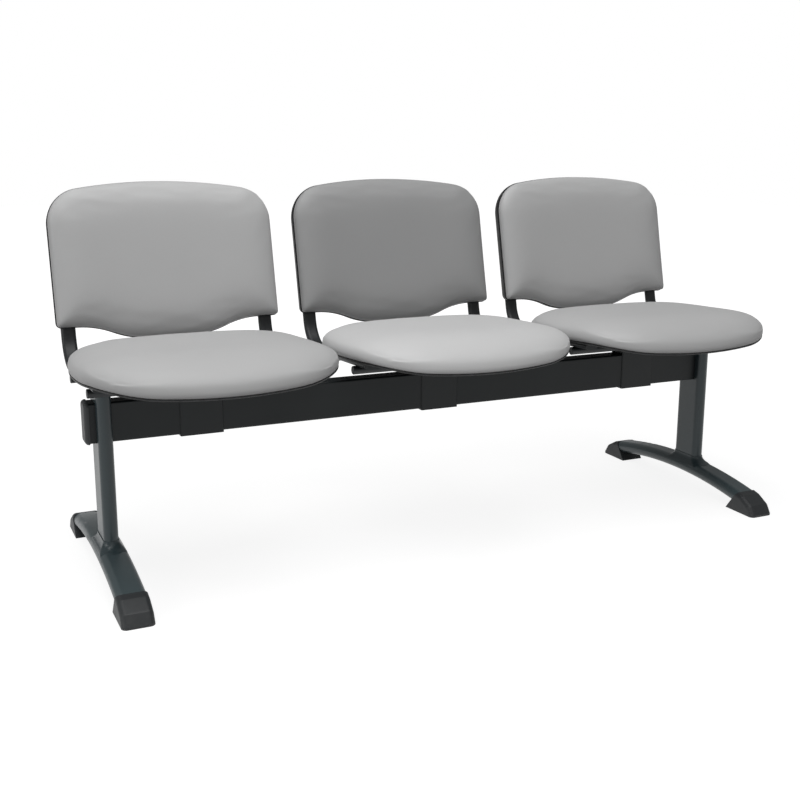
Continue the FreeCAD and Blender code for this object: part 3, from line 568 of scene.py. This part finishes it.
def straight_points(start, end):
    """Points on a straight stretch, with the normal on its right hand."""
    share = np.linspace(0, 1, 200)[:, None]
    run = np.subtract(end, start)
    normal = np.array([run[1], -run[0]]) / np.hypot(*run)
    return np.hstack([np.array(start) + share * run, np.tile(normal, (200, 1))])


def back_outline():
    """The dip's flat, two equal arcs up to the heel, the straight side, the top corner and arch."""
    heel = np.array([back_half_width - back_bottom_corner, back_bottom_corner - back_flat_drop])
    arch = np.array([0, back_height - back_top_radius])
    corner_x = back_half_width - back_top_corner
    corner = np.array([corner_x, arch[1] + np.sqrt((back_top_radius - back_top_corner) ** 2 - corner_x ** 2)])
    width = back_flat_start - back_dip_half
    drop = back_dip - back_flat_drop
    bend = (width ** 2 + drop ** 2) / (4 * drop)
    swing = np.arcsin(width / 2 / bend)
    low = np.array([back_dip_half, bend - back_dip])
    high = np.array([back_flat_start, -back_flat_drop - bend])
    top_turn = np.arctan2(*(corner - arch)[::-1])
    return mirrored(np.vstack([
        straight_points((0, -back_dip), (back_dip_half, -back_dip)),
        arc_points(low, bend, -np.pi / 2, -np.pi / 2 + swing),
        arc_points(high, bend, np.pi / 2 + swing, np.pi / 2, -1),
        straight_points((back_flat_start, -back_flat_drop), (heel[0], -back_flat_drop)),
        arc_points(heel, back_bottom_corner, -np.pi / 2, 0),
        straight_points((back_half_width, heel[1]), (back_half_width, corner[1])),
        arc_points(corner, back_top_corner, 0, top_turn),
        arc_points(arch, back_top_radius, top_turn, np.pi / 2),
    ]))


def back_to_room(points, x):
    """Back points, across, up the leaning back and forwards from its hollow surface, in the room."""
    across, up, out = points.T
    curve = (back_half_width ** 2 + back_hollow ** 2) / (2 * back_hollow)
    out = out + curve - back_hollow - np.sqrt(curve ** 2 - across ** 2)
    y = back_foot[0] + up * np.sin(back_lean) - out * np.cos(back_lean)
    z = back_foot[1] + up * np.cos(back_lean) + out * np.sin(back_lean)
    return np.stack([across + x, y, z], 1)


# The back covers are one grey, but each back is painted its own: the much darker middle back is painted
# shade, and the ends' greys are painted light and shade too.
back_cover_lit_greys = {1: (0.430, 0.431, 0.432), 2: (0.285, 0.286, 0.287), 3: (0.415, 0.416, 0.417)}
top, rings, floor = pad_surface(
    back_outline(), pad_cells, back_edge_reach, back_rear, back_tuck, back_rear, back_crown,
    back_draw_in)
pad_points = np.vstack([top.reshape(-1, 3), *rings, floor.reshape(-1, 3)])
tucked = np.arange(len(pad_points)) >= top.shape[0] * top.shape[1]
leaning = back_to_room(pad_points, 0)
leaning = swelled(leaning, pad_quads, tucked, foam_pressure, cover_swell_cap)
for number, x in places.items():
    cushion = mesh_piece("back_pad_" + str(number), leaning + np.array([x, 0, 0]), pad_quads)
    smoother = cushion.modifiers.new("smooth", "SUBSURF")
    smoother.levels = smoother.render_levels = 1
    finish = imitation_leather("back_cover_" + str(number), back_cover_lit_greys[number])
    cushion.data.materials.append(finish.material)
    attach(cushion, "root")
    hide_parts("back_cushion_" + str(number))


# Floor and light: a white floor that keeps the bench's shadow, and soft lamps round the bench.
# The floor shows white to the camera, in reflections and through clear pieces. The room does
# so too, but not in reflections, where it stays at its own dimmer level.
floor_near, floor_far = 0.9, 2.6
floor_shadow_white = (0.86, 0.86, 0.86)
floor_dark, floor_light = (0.215, 0.215, 0.215), (0.225, 0.225, 0.225)
room_light = 0.30
floor_points = np.array([[-9, -7, 0], [9, -7, 0], [9, 11, 0], [-9, 11, 0]], float)
floor_sheet = mesh_piece("floor", floor_points, np.array([[0, 1, 2, 3]]))
floor_paint = Finish("floor_paint", (0.22, 0.22, 0.22), 0.9)
unlit = floor_paint.node("LightPath", output="Is Camera Ray")
unlit = unlit + floor_paint.node("LightPath", output="Is Glossy Ray")
unlit = unlit + floor_paint.node("LightPath", output="Is Transmission Ray")
reach = floor_paint.node("VectorMath", {0: floor_paint.place}, output=1, operation="LENGTH")
glow = floor_paint.blend(floor_paint.ramp(reach, floor_near, floor_far), floor_shadow_white, (1, 1, 1))
grain = floor_paint.noise(3.0, 4.0)
floor_paint.feed("Base Color", floor_paint.blend(grain, floor_dark, floor_light))
floor_paint.feed("Emission Color", floor_paint.blend(unlit, (0, 0, 0), glow))
floor_paint.shader.inputs["Emission Strength"].default_value = 1.0
floor_sheet.data.materials.append(floor_paint.material)

world = bpy.data.worlds.new("studio")
world.use_nodes = True
bpy.context.scene.world = world
sky = world.node_tree
rays = sky.nodes.new("ShaderNodeLightPath")
either = sky.nodes.new("ShaderNodeMath")
either.operation = "MAXIMUM"
sky.links.new(rays.outputs["Is Camera Ray"], either.inputs[0])
sky.links.new(rays.outputs["Is Transmission Ray"], either.inputs[1])
level_mix = sky.nodes.new("ShaderNodeMapRange")
level_mix.inputs["To Min"].default_value = room_light
level_mix.inputs["To Max"].default_value = 1.0
sky.links.new(either.outputs[0], level_mix.inputs["Value"])
sky.nodes["Background"].inputs["Color"].default_value = (1, 1, 1, 1)
sky.links.new(level_mix.outputs[0], sky.nodes["Background"].inputs["Strength"])


def soft_lamp(name, place, target, size, power):
    """A square lamp of this size in metres, turned to face a point of the bench."""
    lamp = bpy.data.objects.new(name, bpy.data.lights.new(name, "AREA"))
    lamp.data.size = size
    lamp.data.energy = power
    lamp.location = place
    aim = Vector(target) - Vector(place)
    lamp.rotation_euler = aim.to_track_quat("-Z", "Y").to_euler()
    bpy.context.scene.collection.objects.link(lamp)


soft_lamp("key_lamp", (-0.5, -0.6, 3.2), (0, 0, 0.4), 2.4, 72)
soft_lamp("side_lamp", (-3.4, -0.6, 1.4), (-0.5, 0, 0.4), 1.2, 19)
soft_lamp("fill_lamp", (-0.6, -3.8, 2.2), (0, 0, 0.5), 2.0, 8)

bpy.context.scene.view_settings.view_transform = "Standard"
